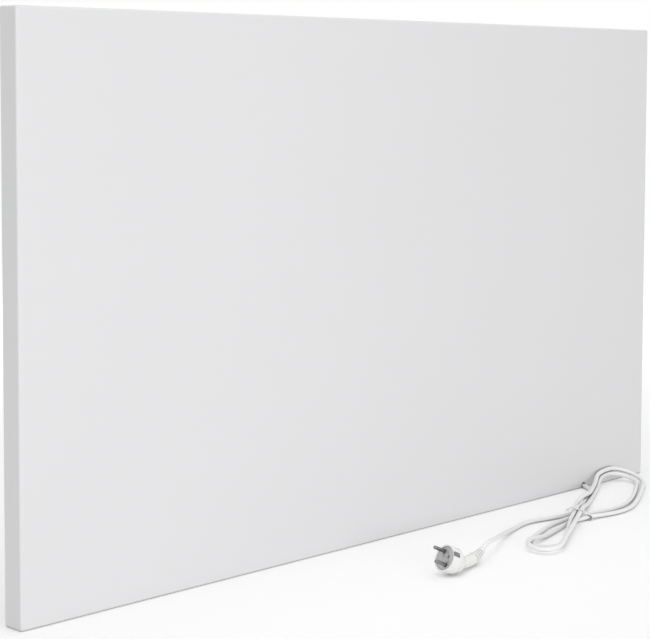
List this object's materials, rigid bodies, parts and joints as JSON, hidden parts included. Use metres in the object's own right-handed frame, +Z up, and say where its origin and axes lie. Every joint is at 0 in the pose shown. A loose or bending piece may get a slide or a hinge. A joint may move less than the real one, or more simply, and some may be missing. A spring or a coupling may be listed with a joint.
{
  "type": "infrared panel heater",
  "caption": "Slim white infrared panel heater, a folded steel tray with a plain flat front and wall hangers behind, with a white mains cord in a tied hank and a round two-pin plug.",
  "frame": {"origin": "on the floor, at the middle of the heater's width and of its depth from the front face to the wall hangers", "axes": "+X along the width to the right as seen from the front, +Y to the rear, towards the wall, +Z up; the radiating front faces -Y"},
  "size_m": [1.2, 0.2701, 0.7],
  "materials": {
    "white_paint": "satin",
    "zinc_steel": "satin",
    "bright_steel": "polished",
    "brass": "satin",
    "white_plastic": "satin",
    "white_sheath": "matte",
    "grey_plastic": "matte",
    "black_rubber": "matte",
    "film": "glossy",
    "resistance_foil": "satin",
    "bright_foil": "polished",
    "mineral_wool": "matte",
    "brown_core": "matte",
    "blue_core": "matte",
    "green_core": "matte"
  },
  "bodies": {
    "root": {"cord_hank": "white_sheath", "cord_lead": "white_sheath", "cord_outlet_liner": "grey_plastic", "cord_tail": "white_sheath", "cord_tie": "white_plastic", "earth_contact_left": "bright_steel", "earth_contact_right": "bright_steel", "earth_core": "green_core", "earth_nut": "brass", "earth_stud": "bright_steel", "front_film": "film", "front_panel": "white_paint", "gland_body": "grey_plastic", "gland_cap": "grey_plastic", "gland_nut": "grey_plastic", "gland_seal": "black_rubber", "hanger_lower_left": "zinc_steel", "hanger_lower_right": "zinc_steel", "hanger_upper_left": "zinc_steel", "hanger_upper_right": "zinc_steel", "heating_track": "resistance_foil", "insulation_board": "mineral_wool", "lid_screw_1": "bright_steel", "lid_screw_2": "bright_steel", "lid_screw_3": "bright_steel", "lid_screw_4": "bright_steel", "live_core": "brown_core", "live_lead_element": "brown_core", "live_lead_link": "brown_core", "live_lead_terminal": "brown_core", "live_pin": "bright_steel", "neutral_core": "blue_core", "neutral_lead": "blue_core", "neutral_pin": "bright_steel", "plug_body": "white_plastic", "plug_insert": "grey_plastic", "rear_cover": "zinc_steel", "rear_film": "film", "rear_screw_1": "bright_steel", "rear_screw_2": "bright_steel", "rear_screw_3": "bright_steel", "rear_screw_4": "bright_steel", "rear_screw_5": "bright_steel", "rear_screw_6": "bright_steel", "rear_screw_7": "bright_steel", "rear_screw_8": "bright_steel", "reflective_foil": "bright_foil", "strain_relief": "white_sheath", "terminal_block": "white_plastic", "terminal_box": "grey_plastic", "terminal_box_gasket": "black_rubber", "terminal_box_lid": "grey_plastic", "terminal_screw_1": "brass", "terminal_screw_2": "brass", "terminal_screw_3": "brass", "thermal_cutout_1": "black_rubber", "thermal_cutout_2": "black_rubber"}
  },
  "joints": []
}
